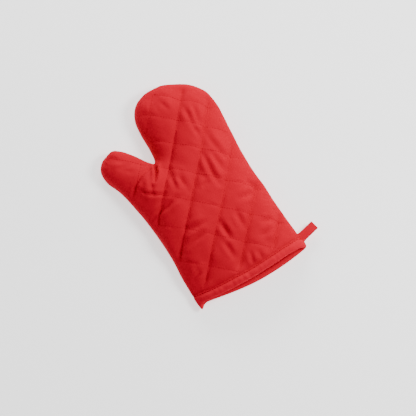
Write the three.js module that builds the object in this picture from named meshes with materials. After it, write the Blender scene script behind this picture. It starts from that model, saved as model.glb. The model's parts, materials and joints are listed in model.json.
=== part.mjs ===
// Quilted oven mitt, lying on its back panel with the palm panel up.
// Millimetres, +Z up, +Y from the cuff to the fingertips, the thumb on the -X side.
//
// Each panel is three layers, an outer cover, a wadding and a lining, and the two panels meet
// at a seam that runs round the whole outline. Every layer is divided where the mitt folds:
// the fingertips fold over at the knuckles, and the thumb folds over at its base. A soft band
// between two stiffer sections takes up each fold.
import * as THREE from "three";

// ---- Driving dimensions ----------------------------------------------------------------
const SEAM_HEIGHT = 8; // of the side seam above the table
const BACK_EDGE_RUN = 18; // over which the back panel comes down from the seam to the table
const GAP = 0.3; // between neighbouring pieces
// How far the palm panel rises over the seam, and the run from the seam to its full height.
const HAND_RISE = { height: 30, run: 60 };
const FINGER_RISE = { height: 26, run: 49 };
const THUMB_RISE = { height: 16, run: 21 };
const MOUTH_RISE = 0.73; // share of the full height at the cuff's edge
const MOUTH_TAPER = [-8, 90]; // y over which the palm panel rises from the mouth
const CUFF_LIFT = 2.2; // of the back panel over the table at the cuff
const CUFF_LIFT_TAPER = [16, 46];
const CUFF_PINCH = 0.65; // share of a panel's thickness left under the binding
const CUFF_PINCH_TAPER = [4, 34];
const CUFF_BULGE = 8; // of the cuff's edge at its middle, away from the hand

// Depth of each layer's two faces below the mitt's outer face.
const LAYERS = {
  cover: { from: 0, to: 0.6, color: 0xd82324, roughness: 0.85 },
  wadding: { from: 0.9, to: 4.9, color: 0xefe9dc, roughness: 1 },
  lining: { from: 5.2, to: 5.7, color: 0xb51d20, roughness: 0.9 },
};

const TAPE = { width: 9, thickness: 0.6, slack: 0.5, color: 0xdd2a2c, roughness: 0.8 };
const STITCHING = { fromEdge: 7.4, radius: 0.25, sides: 6, color: 0xc41e22, roughness: 0.7 };
const LOOP = {
  place: new THREE.Vector2(74.2, 20), // of its sewn end
  heading: THREE.MathUtils.degToRad(20), // from +X towards +Y
  length: 21.5,
  width: 10.4,
  thickness: 1,
  eye: 4.8, // the clear height between its two legs
  sewn: 2.2, // length over which the legs are sewn to each other, at the seam
  slit: 0.16, // half of what is left open between the legs there
  root: 1.25, // half of the height of both legs there
  spread: [5, 8], // how far along the legs spread apart
  color: 0xe03436,
  roughness: 0.8,
};

// ---- Outline of the side seam ----------------------------------------------------------
// From the cuff up the thumb side, round the thumb, into the crotch, round the fingertips
// and back down to the cuff. Named points are where the sections meet.
const OUTLINE = [
  [-77, 0, "cuffLeft"],
  [-80, 30],
  [-81.5, 64],
  [-86, 98],
  [-93.5, 133.5, "thumbBaseLeft"],
  [-103.5, 165.5, "thumbLeft"],
  [-112.5, 184],
  [-113.7, 199],
  [-106, 210.5, "thumbTipLeft"],
  [-92, 215.3, "thumbTipRight"],
  [-79, 211.3],
  [-69, 201, "thumbRight"],
  [-58.5, 187],
  [-53.6, 181.6],
  [-50.6, 180, "crotch"],
  [-48.2, 182.8],
  [-47.6, 200],
  [-49.3, 222, "fingersLeft"],
  [-48.5, 240],
  [-41, 255.5],
  [-27, 264],
  [-10, 266.6, "fingertipLeft"],
  [6, 265.3, "fingertipRight"],
  [22, 259],
  [37, 248.5],
  [46.5, 237],
  [50.6, 222, "fingersRight"],
  [53, 202],
  [53.2, 182, "knucklesRight"],
  [54, 146],
  [57.5, 112],
  [62.5, 78],
  [67, 48],
  [71, 24],
  [73.6, 10, "cuffRight"],
];
const STEPS = 8; // straight steps between two points of the outline
const BEYOND_CUFF = 60; // the seam's line runs on past the cuff, so that the mouth stays open

const seamCurve = new THREE.CatmullRomCurve3(
  OUTLINE.map(([x, y]) => new THREE.Vector3(x, y, 0)),
  false,
  "centripetal",
);
const seam = Array.from({ length: (OUTLINE.length - 1) * STEPS + 1 }, (_, i) => {
  const p = seamCurve.getPoint(i / ((OUTLINE.length - 1) * STEPS));
  return new THREE.Vector2(p.x, p.y);
});
const stepOf = Object.fromEntries(
  OUTLINE.flatMap(([, , name], i) => (name ? [[name, i * STEPS]] : [])),
);
stepOf.thumbCrotch = stepOf.crotch - 1;
stepOf.fingerCrotch = stepOf.crotch + 1;

// The seam's line with both ends run on past the cuff.
function ranOn(points) {
  const past = (end, next) =>
    end.clone().add(end.clone().sub(next).setLength(BEYOND_CUFF));
  const last = points.length - 1;
  return [past(points[0], points[1]), ...points, past(points[last], points[last - 1])];
}
const seamLine = ranOn(seam);

const smooth = (x, [low, high]) => THREE.MathUtils.smoothstep(x, low, high);
const { lerp } = THREE.MathUtils;

// The nearest point of the seam: its distance, and the way there as a unit vector.
function toSeam(p) {
  let best = { distance: Infinity };
  for (let i = 1; i < seamLine.length; i++) {
    const a = seamLine[i - 1];
    const along = seamLine[i].clone().sub(a);
    const share = THREE.MathUtils.clamp(p.clone().sub(a).dot(along) / along.lengthSq(), 0, 1);
    const way = a.clone().addScaledVector(along, share).sub(p);
    const distance = way.length();
    if (distance < best.distance) best = { distance, way, along };
  }
  // On the seam itself the way out is square to it, to the left of the outline's direction.
  const onSeam = best.distance < 0.02;
  const out = onSeam ? new THREE.Vector2(-best.along.y, best.along.x) : best.way;
  return { distance: onSeam ? 0 : best.distance, out: out.normalize() };
}

// ---- The mitt's outer face, and the faces below it ------------------------------------------
const FOLD_AXIS = new THREE.Vector2(-0.73, 0.683); // across the thumb's fold, towards its tip
const THUMB_REACH = [145, 190]; // along FOLD_AXIS, from the hand to the thumb
const THUMB_SIDE = [-50, -62]; // x, from the finger side to the thumb side of the crotch
const FINGER_REACH = [150, 215]; // y, from the hand to the fingers

function palmRise(p) {
  const thumb =
    smooth(p.dot(FOLD_AXIS), THUMB_REACH) * (1 - smooth(p.x, [...THUMB_SIDE].reverse()));
  const finger = smooth(p.y, FINGER_REACH);
  const mix = (key) =>
    lerp(lerp(HAND_RISE[key], FINGER_RISE[key], finger), THUMB_RISE[key], thumb);
  const mouth = lerp(MOUTH_RISE, 1, smooth(p.y, MOUTH_TAPER));
  return { height: mix("height") * mouth, run: mix("run") };
}

// A point of the mitt, at p in plan, depth below its outer face. Both panels are vertical
// where they meet at the seam: the palm panel is an arch, and the back panel a flat dish.
function facePoint(p, panel, depth) {
  const { distance, out } = toSeam(p);
  const pinched = depth * lerp(CUFF_PINCH, 1, smooth(p.y, CUFF_PINCH_TAPER));
  const palm = panel === "palm";
  const { height, run } = palm ? palmRise(p) : { height: SEAM_HEIGHT, run: BACK_EDGE_RUN };
  const power = palm ? 2 : 3;
  const level = Math.max(0, 1 - distance / run);
  const steep = (1 - level ** power) ** (1 / power);
  const lift = palm ? 0 : CUFF_LIFT * (1 - smooth(p.y, CUFF_LIFT_TAPER)) * steep;
  const inward = (p.out ?? alongOf(p.along, out)).clone().multiplyScalar(-pinched * level ** 2);
  const z = palm
    ? SEAM_HEIGHT + GAP / 2 + (height - pinched) * steep
    : SEAM_HEIGHT - GAP / 2 - (height - GAP / 2 - pinched) * steep + lift;
  return new THREE.Vector3(p.x + inward.x, p.y + inward.y, z);
}

// A point on a cut stays on the cut however deep it lies.
function alongOf(along, out) {
  return along ? along.clone().multiplyScalar(Math.sign(along.dot(out))) : out;
}

// ---- Sections of the plan ---------------------------------------------------------------
const named = (name) => seam[stepOf[name]];

// Points of the seam between two named points, in either direction, count + 1 of them.
function seamRun(from, to, count) {
  return Array.from({ length: count + 1 }, (_, i) => {
    const at = lerp(stepOf[from], stepOf[to], i / count);
    const low = Math.floor(at);
    return seam[low].clone().lerp(seam[Math.min(low + 1, seam.length - 1)], at - low);
  });
}

// Points of a straight line, closer together towards both ends, where the faces are steep.
function lineRun(a, b, count, bulge = 0) {
  return Array.from({ length: count + 1 }, (_, i) => {
    const share = (1 - Math.cos((Math.PI * i) / count)) / 2;
    const square = new THREE.Vector2(b.y - a.y, a.x - b.x).normalize();
    return a.clone().lerp(b, share).addScaledVector(square, bulge * 4 * share * (1 - share));
  });
}

// A grid of plan points between four runs: near and far across, left and right along.
function patch(near, far, left, right) {
  const rows = left.length - 1;
  const columns = near.length - 1;
  return left.map((_, j) => {
    const v = j / rows;
    const start = near[0].clone().lerp(far[0], v);
    const end = near[columns].clone().lerp(far[columns], v);
    return near.map((_, i) => {
      const u = (1 - Math.cos((Math.PI * i) / columns)) / 2;
      return near[i]
        .clone()
        .lerp(far[i], v)
        .addScaledVector(left[j].clone().sub(start), 1 - u)
        .addScaledVector(right[j].clone().sub(end), u);
    });
  });
}

// Draws a row of the grid back from the section next to it, by half a gap. The row is a cut
// through all the layers: they lie further in along it at its ends, and square to its corner.
function drawBack(grid, row, towards) {
  const cut = grid[row];
  grid[row] = cut.map((p, i) => {
    const way = grid[towards][i].clone().sub(p);
    const drawn = p.clone().addScaledVector(way, GAP / 2 / way.length());
    const back = p.clone().sub(cut[Math.max(i - 1, 0)]).normalize();
    const on = p.clone().sub(cut[Math.min(i + 1, cut.length - 1)]).normalize();
    const inRow = i > 0 && i < cut.length - 1;
    if (inRow && Math.abs(back.cross(on)) < CORNER) drawn.along = back;
    else drawn.out = back.add(on).normalize();
    return drawn;
  });
  return grid;
}

const CORNER = 0.2; // sine of the least turn that counts as a corner
const CUFF_COLUMNS = 14;
const THUMB_COLUMNS = 6; // of them, those that run up to the thumb's base
const HAND_ROWS = 8;
const FOLD_ROWS = 4;
const TIP_ROWS = 5;

const cuffRun = lineRun(named("cuffLeft"), named("cuffRight"), CUFF_COLUMNS, CUFF_BULGE);
const thumbBaseRun = lineRun(named("thumbBaseLeft"), named("thumbCrotch"), THUMB_COLUMNS);
const thumbRun = lineRun(named("thumbLeft"), named("thumbRight"), THUMB_COLUMNS);
const knuckleColumns = CUFF_COLUMNS - THUMB_COLUMNS;
const knuckleRun = lineRun(named("fingerCrotch"), named("knucklesRight"), knuckleColumns);
const fingerRun = lineRun(named("fingersLeft"), named("fingersRight"), knuckleColumns);

const SECTIONS = {
  hand: handGrid(),
  knuckles: foldBand(
    knuckleRun, fingerRun, "fingerCrotch", "fingersLeft", "knucklesRight", "fingersRight",
  ),
  fingertips: tip(fingerRun, "fingersLeft", "fingertipLeft", "fingertipRight", "fingersRight"),
  thumb_base: foldBand(
    thumbBaseRun, thumbRun, "thumbBaseLeft", "thumbLeft", "thumbCrotch", "thumbRight",
  ),
  thumb: tip(thumbRun, "thumbLeft", "thumbTipLeft", "thumbTipRight", "thumbRight"),
};

// The hand has one more row than the others, at the edge of the binding.
function handGrid() {
  const left = seamRun("cuffLeft", "thumbBaseLeft", HAND_ROWS);
  const right = seamRun("cuffRight", "knucklesRight", HAND_ROWS);
  const far = [...thumbBaseRun.slice(0, -1), named("crotch"), ...knuckleRun.slice(1)];
  const grid = patch(cuffRun, far, left, right);
  const bound = grid[0].map((p, i) => {
    const way = grid[1][i].clone().sub(p);
    return p.clone().addScaledVector(way, TAPE.width / way.length());
  });
  grid.splice(1, 0, bound);
  return drawBack(grid, grid.length - 1, grid.length - 2);
}

function foldBand(near, far, leftFrom, leftTo, rightFrom, rightTo) {
  const left = seamRun(leftFrom, leftTo, FOLD_ROWS);
  const right = seamRun(rightFrom, rightTo, FOLD_ROWS);
  const grid = patch(near, far, left, right);
  return drawBack(drawBack(grid, 0, 1), FOLD_ROWS, FOLD_ROWS - 1);
}

function tip(near, leftFrom, leftTo, rightTo, rightFrom) {
  const far = seamRun(leftTo, rightTo, near.length - 1);
  const left = seamRun(leftFrom, leftTo, TIP_ROWS);
  const right = seamRun(rightFrom, rightTo, TIP_ROWS);
  return drawBack(patch(near, far, left, right), 0, 1);
}

// ---- Closed meshes ----------------------------------------------------------------------
function geometryOf(points, faces) {
  return new THREE.BufferGeometry()
    .setAttribute("position", new THREE.Float32BufferAttribute(points.flatMap((p) => p.toArray()), 3))
    .setIndex(faces.flat());
}

const quad = (a, b, c, d) => [a, b, c, a, c, d];

// The slab of one layer over one section: two faces joined round their edge.
function slab(grid, panel, { from, to }) {
  const columns = grid[0].length;
  const count = grid.length * columns;
  const flat = grid.flat();
  const points = [from, to].flatMap((depth) => flat.map((p) => facePoint(p, panel, depth)));
  const at = (j, i) => j * columns + i;
  const faces = [];
  for (let j = 1; j < grid.length; j++) {
    for (let i = 1; i < columns; i++) {
      const outer = quad(at(j - 1, i - 1), at(j - 1, i), at(j, i), at(j, i - 1));
      faces.push(outer, outer.map((k) => k + count).reverse());
    }
  }
  const rim = [
    ...grid[0].map((_, i) => at(0, i)),
    ...grid.slice(1).map((_, j) => at(j + 1, columns - 1)),
    ...grid[0].slice(1).map((_, i) => at(grid.length - 1, columns - 2 - i)),
    ...grid.slice(1, -1).map((_, j) => at(grid.length - 2 - j, 0)),
  ];
  rim.forEach((a, k) => {
    const b = rim[(k + 1) % rim.length];
    faces.push(quad(b, a, a + count, b + count));
  });
  if (panel === "back") faces.forEach((face) => face.reverse());
  return geometryOf(points, faces);
}

// A ring round the mouth: a section of [distance from the cuff's edge, depth] points, carried
// along the palm panel's edge and back along the back panel's.
function mouthRing(section) {
  const edge = SECTIONS.hand[0];
  const inland = SECTIONS.hand[1];
  const stations = [
    ...edge.map((_, i) => ["palm", i]),
    ...edge.slice(1, -1).map((_, i) => ["back", edge.length - 2 - i]),
  ];
  const points = stations.flatMap(([panel, i]) => {
    const way = inland[i].clone().sub(edge[i]).normalize();
    const onSeam = i === 0 || i === edge.length - 1;
    return section.map(([fromEdge, depth]) => {
      const point = facePoint(edge[i].clone().addScaledVector(way, fromEdge), panel, depth);
      return onSeam ? point.setZ(SEAM_HEIGHT) : point;
    });
  });
  const faces = [];
  const around = section.length;
  for (let s = 0; s < stations.length; s++) {
    const next = (s + 1) % stations.length;
    for (let k = 0; k < around; k++) {
      const l = (k + 1) % around;
      faces.push(quad(next * around + k, next * around + l, s * around + l, s * around + k));
    }
  }
  return geometryOf(points, faces);
}

// The tape folded over the cuff's edge, open towards the hand.
function cuffBinding() {
  const { width, thickness, slack } = TAPE;
  const outside = -slack;
  const inside = LAYERS.lining.to + slack;
  const bevel = thickness * 0.6; // the fold's corners are cut by the rest of its thickness
  return mouthRing([
    [width, outside],
    [-GAP, outside],
    [-GAP, inside],
    [width, inside],
    [width, inside + thickness],
    [-GAP - thickness, inside + bevel],
    [-GAP - thickness, outside - bevel],
    [width, outside - thickness],
  ]);
}

// The row of stitches that holds the binding, as one thread lying on the tape.
function cuffStitching() {
  const { fromEdge, radius, sides } = STITCHING;
  const depth = -(TAPE.slack + TAPE.thickness) - (GAP / 2 + radius) / CUFF_PINCH;
  const section = Array.from({ length: sides }, (_, k) => {
    const turn = (2 * Math.PI * k) / sides;
    return [fromEdge + radius * Math.cos(turn), depth + radius * Math.sin(turn)];
  });
  return mouthRing(section);
}

// A tape folded in half, its two legs apart at the eye and together at the seam.
function loopGeometry() {
  const { length, width, thickness, eye, sewn, slit, root } = LOOP;
  const clear = eye / 2;
  const bend = length - clear - thickness; // centre of the round end
  const shape = loopOutline(new THREE.Shape(), 0, root, clear + thickness, bend);
  shape.holes.push(loopOutline(new THREE.Path(), sewn, slit, clear, bend));
  return new THREE.ExtrudeGeometry(shape, { depth: width, bevelEnabled: false, curveSegments: 8 })
    .translate(0, 0, -width / 2)
    .rotateX(Math.PI / 2)
    .rotateZ(LOOP.heading);
}

// Along one leg from start, where it is narrow, round the bend, and back along the other leg.
function loopOutline(path, start, narrow, wide, bend) {
  const [near, far] = LOOP.spread;
  path.moveTo(start, -narrow);
  path.bezierCurveTo(near, -wide, far, -wide, bend, -wide);
  path.absarc(bend, 0, wide, -Math.PI / 2, Math.PI / 2, false);
  path.bezierCurveTo(far, wide, near, wide, start, narrow);
  path.closePath();
  return path;
}

// ---- The assembly ------------------------------------------------------------------------
const mitt = new THREE.Group();

function add(name, geometry, { color, roughness }) {
  const material = new THREE.MeshStandardMaterial({ color, roughness, metalness: 0 });
  const mesh = new THREE.Mesh(geometry, material);
  mesh.name = name;
  mitt.add(mesh);
  return mesh;
}

for (const panel of ["palm", "back"]) {
  for (const [layerName, layer] of Object.entries(LAYERS)) {
    for (const [sectionName, grid] of Object.entries(SECTIONS)) {
      add(`${panel}_${layerName}_${sectionName}`, slab(grid, panel, layer), layer);
    }
  }
}
add("cuff_binding", cuffBinding(), TAPE);
add("cuff_stitching", cuffStitching(), STITCHING);
add("hanging_loop", loopGeometry(), LOOP).position.set(LOOP.place.x, LOOP.place.y, SEAM_HEIGHT);

// The origin is under the middle of the mitt's box, on the table.
const box = new THREE.Box3().setFromObject(mitt);
const middle = box.getCenter(new THREE.Vector3());
mitt.position.set(-middle.x, -middle.y, -box.min.z);

export default mitt;
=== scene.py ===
"""Looks of the quilted oven mitt: covers, wadding, linings, binding, loop and stitches.

The covers' valleys, pillows, folds and puckers are displacements worked out here. A light cloth
simulation then settles them, by under a millimetre.

The mitt's own lengths are in millimetres, in the frame of its outline: X across the cuff, Y towards
the fingertips, Z up from the table. to_frame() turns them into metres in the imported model's frame.
"""

import json
import math

import bpy
import numpy as np
from mathutils import Matrix, Vector
from mathutils.geometry import delaunay_2d_cdt


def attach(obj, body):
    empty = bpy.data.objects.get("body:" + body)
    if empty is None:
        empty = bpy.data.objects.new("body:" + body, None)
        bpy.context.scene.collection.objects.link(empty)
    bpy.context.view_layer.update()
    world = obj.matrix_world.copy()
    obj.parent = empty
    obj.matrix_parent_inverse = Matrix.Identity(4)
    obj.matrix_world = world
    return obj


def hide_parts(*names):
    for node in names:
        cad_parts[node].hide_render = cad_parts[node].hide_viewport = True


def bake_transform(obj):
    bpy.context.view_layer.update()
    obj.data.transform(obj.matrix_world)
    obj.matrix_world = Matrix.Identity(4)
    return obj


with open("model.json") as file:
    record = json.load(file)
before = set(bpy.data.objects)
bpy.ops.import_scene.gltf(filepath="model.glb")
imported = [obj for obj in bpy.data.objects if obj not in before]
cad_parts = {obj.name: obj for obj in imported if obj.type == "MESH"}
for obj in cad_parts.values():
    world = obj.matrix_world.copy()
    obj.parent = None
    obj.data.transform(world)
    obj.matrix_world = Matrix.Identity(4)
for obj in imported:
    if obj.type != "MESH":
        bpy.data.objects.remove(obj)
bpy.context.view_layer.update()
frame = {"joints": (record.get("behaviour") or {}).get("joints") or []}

rng = np.random.default_rng(7)

# ---- The mitt's dimensions, as in the solids ------------------------------------------------
SEAM_HEIGHT = 8.0
BACK_EDGE_RUN = 18.0
HAND_RISE = (30.0, 60.0)  # height over the seam, and the run to it
FINGER_RISE = (26.0, 49.0)
THUMB_RISE = (16.0, 21.0)
THUMB_TAPER = (145.0, 190.0)  # along FOLD_AXIS
THUMB_SIDE_TAPER = (-62.0, -50.0)  # of X
FINGER_TAPER = (150.0, 215.0)  # of Y
MOUTH_RISE = 0.66
MOUTH_TAPER = (-8.0, 90.0)
CUFF_LIFT = 2.2
CUFF_LIFT_TAPER = (16.0, 46.0)
CUFF_PINCH = 0.65
CUFF_PINCH_TAPER = (4.0, 34.0)
CUFF_BULGE = 8.0
WALL = 5.7  # from the cover's face to the lining's
MOUTH_LIFT, MOUTH_SAG, MOUTH_BACK, MOUTH_FORTH = 2.5, 4.0, 1.2, 1.2
MOUTH_RIGHT, MOUTH_CORNER = (0.38, 0.7), (0.93, 1.0)  # shares of the way across the cuff
MOUTH_LEFT = (0.1, 0.45)
MOUTH_LIFT_REACH, MOUTH_SHIFT_REACH = 60, 40  # from the cuff's edge
MOUTH_FREE_HEIGHT = 9  # over the seam, above which the edge moves in full
BINDING_WIDTH = 9.6
STITCH_ROW = 8.0  # from the cuff's edge
PINCH, PINCH_WIDTH = 2.3, 1.3  # of the row of stitches through the binding
JUT = 1.9  # of the binding past the cuff's edge
LIP = 2.6  # of the back panel's edge, over its lining
BEAK, BEAK_REACH, BEAK_HEIGHT = 9.6, 6.3, 6.5  # the binding's point at the thumb side's corner

OUTLINE = np.array(
    [
        (-77, 0), (-80, 30), (-81.5, 64), (-86, 98), (-93.5, 133.5), (-103.5, 165.5),
        (-112.5, 184), (-113.7, 199), (-106, 210.5), (-92, 215.3), (-79, 211.3), (-69, 201),
        (-58.5, 187), (-53.6, 181.6), (-50.6, 180), (-48.2, 182.8), (-47.6, 200), (-49.3, 222),
        (-48.5, 240), (-41, 255.5), (-27, 264), (-10, 266.6), (6, 265.3), (22, 259),
        (37, 248.5), (46.5, 237), (50.6, 222), (53, 202), (53.2, 182), (54, 146),
        (57.5, 112), (62.5, 78), (67, 48), (71, 24), (73.6, 10),
    ],
    float,
)
CROTCH = np.array([-50.6, 180.0])
THUMB_BASE_LEFT = np.array([-93.5, 133.5])
FOLD_AXIS = np.array([-0.73, 0.683])  # across the thumb's fold, towards its tip


def unit(v):
    return v / np.maximum(np.linalg.norm(v, axis=-1, keepdims=True), 1e-9)


def smooth(x, low, high):
    t = np.clip((x - low) / (high - low), 0, 1)
    return t * t * (3 - 2 * t)


CURVE_CUTS = 24  # between two points of a curve, before it is resampled


def catmull_rom(points, step):
    """A centripetal Catmull-Rom curve through points, resampled at about step."""
    ends = [2 * points[0] - points[1], *points, 2 * points[-1] - points[-2]]
    out = []
    for p0, p1, p2, p3 in zip(ends, ends[1:], ends[2:], ends[3:]):
        t1 = np.linalg.norm(p1 - p0) ** 0.5
        t2 = t1 + np.linalg.norm(p2 - p1) ** 0.5
        t3 = t2 + np.linalg.norm(p3 - p2) ** 0.5
        t = np.linspace(t1, t2, CURVE_CUTS, endpoint=False)[:, None]
        a1 = (t1 - t) / t1 * p0 + t / t1 * p1
        a2 = (t2 - t) / (t2 - t1) * p1 + (t - t1) / (t2 - t1) * p2
        a3 = (t3 - t) / (t3 - t2) * p2 + (t - t2) / (t3 - t2) * p3
        b1 = (t2 - t) / t2 * a1 + t / t2 * a2
        b2 = (t3 - t) / (t3 - t1) * a2 + (t - t1) / (t3 - t1) * a3
        out.append((t2 - t) / (t2 - t1) * b1 + (t - t1) / (t2 - t1) * b2)
    return resample(np.vstack([*out, points[-1:]]), step)


def resample(line, step):
    """The same line with points evenly about step apart."""
    along = np.concatenate([[0], np.cumsum(np.linalg.norm(np.diff(line, axis=0), axis=1))])
    count = max(2, int(round(along[-1] / step)) + 1)
    at = np.linspace(0, along[-1], count)
    return np.stack([np.interp(at, along, line[:, k]) for k in range(line.shape[1])], 1)


STEP = 2.0  # between the covers' vertices
SEAM_TAIL = 60.0  # of the seam's line past the cuff, so that the mouth stays open
seam = catmull_rom(OUTLINE, STEP)
seam_line = np.vstack(
    [
        seam[0] + SEAM_TAIL * unit(seam[0] - seam[1]),
        seam,
        seam[-1] + SEAM_TAIL * unit(seam[-1] - seam[-2]),
    ]
)


def to_seam(p):
    """The distance from each point to the seam, and the unit way there."""
    a, b = seam_line[:-1], seam_line[1:]
    along = b - a
    best = np.full(len(p), np.inf)
    way = np.zeros((len(p), 2))
    square = np.zeros((len(p), 2))
    for start, run in zip(a, along):
        share = np.clip((p - start) @ run / (run @ run), 0, 1)
        to = start + share[:, None] * run - p
        length = np.linalg.norm(to, axis=1)
        near = length < best - 1e-9
        best[near] = length[near]
        way[near] = to[near]
        square[near] = np.array([-run[1], run[0]]) / np.linalg.norm(run)
    on = best < 0.02
    way[on] = square[on]
    return np.where(on, 0, best), unit(way)


def rises(p):
    """The height of the palm panel over the seam, and the run over which it gets there."""
    thumb = smooth(p @ FOLD_AXIS, *THUMB_TAPER) * (1 - smooth(p[:, 0], *THUMB_SIDE_TAPER))
    finger = smooth(p[:, 1], *FINGER_TAPER)
    both = []
    for hand, fingers, thumbs in zip(HAND_RISE, FINGER_RISE, THUMB_RISE):
        both.append((hand + (fingers - hand) * finger) * (1 - thumb) + thumbs * thumb)
    mouth = MOUTH_RISE + (1 - MOUTH_RISE) * smooth(p[:, 1], *MOUTH_TAPER)
    return both[0] * mouth, both[1]


def face(p, panel, depth, known=None):
    """Points of the mitt at p in plan, depth below its outer face. See the solids' own shape."""
    distance, out = known if known is not None else to_seam(p)
    pinched = depth * (CUFF_PINCH + (1 - CUFF_PINCH) * smooth(p[:, 1], *CUFF_PINCH_TAPER))
    if panel == "palm":
        height, run = rises(p)
        power = 2
    else:
        height, run, power = SEAM_HEIGHT, BACK_EDGE_RUN, 3
    level = np.clip(1 - distance / run, 0, 1)
    steep = (1 - level**power) ** (1 / power)
    inward = (pinched * level**2)[:, None] * out
    if panel == "palm":
        z = SEAM_HEIGHT + (height - pinched) * steep
    else:
        lift = CUFF_LIFT * (1 - smooth(p[:, 1], *CUFF_LIFT_TAPER)) * steep
        z = SEAM_HEIGHT - (height - pinched) * steep + lift
    return np.column_stack([p - inward, z])


# ---- From the outline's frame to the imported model's ------------------------------------------
joints = {j["name"]: j for j in frame["joints"]}
LOOP_HINGE = np.array([74.67, 20.17])  # where the loop's hinge is in the outline's frame
shift = np.array([*(np.array(joints["loop_swing"]["pos_m"][:2]) * 1000 - LOOP_HINGE), 0])


def to_frame(points):
    return (np.asarray(points, float) + shift) / 1000


def new_mesh(name, points, faces, material=None, smooth_faces=True):
    mesh = bpy.data.meshes.new(name)
    mesh.from_pydata([tuple(p) for p in points], [], [tuple(int(i) for i in f) for f in faces])
    mesh.polygons.foreach_set("use_smooth", [smooth_faces] * len(mesh.polygons))
    mesh.update()
    obj = bpy.data.objects.new(name, mesh)
    bpy.context.collection.objects.link(obj)
    if material:
        mesh.materials.append(material)
    return obj


# ---- Quilting -----------------------------------------------------------------------------
L_WAY = np.array([0.588, 0.809])  # along the deep quilting lines
L_ACROSS = np.array([0.809, -0.588])
DEEP_LINES = (-163.0, -129.0, -94.0, -56.0, -18.0, 19.0, 56.0)  # along L_ACROSS
DEEP_SHARES = (0.22, 0.9, 1.0, 1.0, 1.1, 1.1, 0.5)  # of the full depth
SHALLOW_LINES = (-44.0, -2.5, 36.0, 72.0, 108.0, 141.0, 171.0, 199.0, 226.0)  # along L_WAY
DEEP, SHARP, SHARP_WIDTH = 2.6, 2.6, 3.2
SHALLOW, CROWN, EDGE_PUFF = 0.65, 1.5, 1.1
BACK_SHARE = 0.4
TIP_CORNER, TIP_PUFF, TIP_SPREAD = np.array([-16.0, 262.0]), 1.4, 9  # the fingertips are fuller there
DEEP_BOW = (2.0, 40, 62)  # size, where it is nil, and reach
SHALLOW_BOW = (1.6, -20, 40)
LINE_END, TIP_LINE_END, TIP_LINE_TAPER = 5, 6, (225, 245)
QUILT_FADE, QUILT_CUFF_FADE = (0.5, 9), (9, 22)  # from the seam, and from the cuff's edge
PUFF_FADE, PUFF_CUFF_FADE = (0, 2.5), (9, 16)
CREASE_FADE = (0.2, 6)


def bow(p):
    """The lines bow a little, as they were sewn on a panel that lay flat."""
    deep, deep_nil, deep_reach = DEEP_BOW
    shallow, shallow_nil, shallow_reach = SHALLOW_BOW
    bow_deep = -deep * np.sin((p[:, 1] - deep_nil) / deep_reach)
    return bow_deep, shallow * np.sin((p[:, 0] - shallow_nil) / shallow_reach)


def line_margin(p):
    """How far from the seam the quilting lines end: further at the fingertips."""
    return LINE_END + TIP_LINE_END * smooth(p[:, 1], *TIP_LINE_TAPER)


def nearest(values, lines):
    """The distance to the nearest line, half the gap between lines there, and the line's number."""
    lines = np.array(lines)
    k = np.clip(np.searchsorted(lines, values), 1, len(lines) - 1)
    low, high = lines[k - 1], lines[k]
    width = high - low
    near = np.minimum(np.abs(values - low), np.abs(high - values))
    which = np.where(np.abs(values - low) < np.abs(high - values), k - 1, k)
    return near, width / 2, which


def quilt(p, distance, panel):
    """How far out of the smooth panel the cover lies: valleys at the lines, pillows between."""
    bow_l, bow_h = bow(p)
    near_l, half_l, which = nearest(p @ L_ACROSS + bow_l, DEEP_LINES)
    near_h, half_h, _ = nearest(p @ L_WAY + bow_h, SHALLOW_LINES)
    valley_l = (1 - np.clip(near_l / half_l, 0, 1)) ** 2
    sharp_l = np.exp(-near_l / SHARP_WIDTH)
    pillow_h = np.sqrt(np.clip(1 - (1 - np.clip(near_h / half_h, 0, 1)) ** 2, 0, 1))
    share = np.array(DEEP_SHARES)[which]
    valleys = share * (DEEP * valley_l + SHARP * sharp_l) + SHALLOW * (1 - pillow_h)
    further = line_margin(p) - LINE_END
    fade = smooth(distance, QUILT_FADE[0] + further, QUILT_FADE[1] + further)
    fade = fade * smooth(cuff_distance(p), *QUILT_CUFF_FADE)
    if panel == "back":
        # The back panel's pillows lie on the table, and its stitches just off it.
        return -(BACK_SHARE * valleys + SHALLOW * (1 - pillow_h)) * fade, near_l, near_h
    puff = EDGE_PUFF * smooth(distance, *PUFF_FADE) * smooth(cuff_distance(p), *PUFF_CUFF_FADE)
    at_tip = np.exp(-(((p - TIP_CORNER) / TIP_SPREAD) ** 2).sum(1))
    puff += TIP_PUFF * at_tip * smooth(distance, *PUFF_FADE)
    return puff + (CROWN - valleys - EDGE_PUFF) * fade, near_l, near_h


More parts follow.
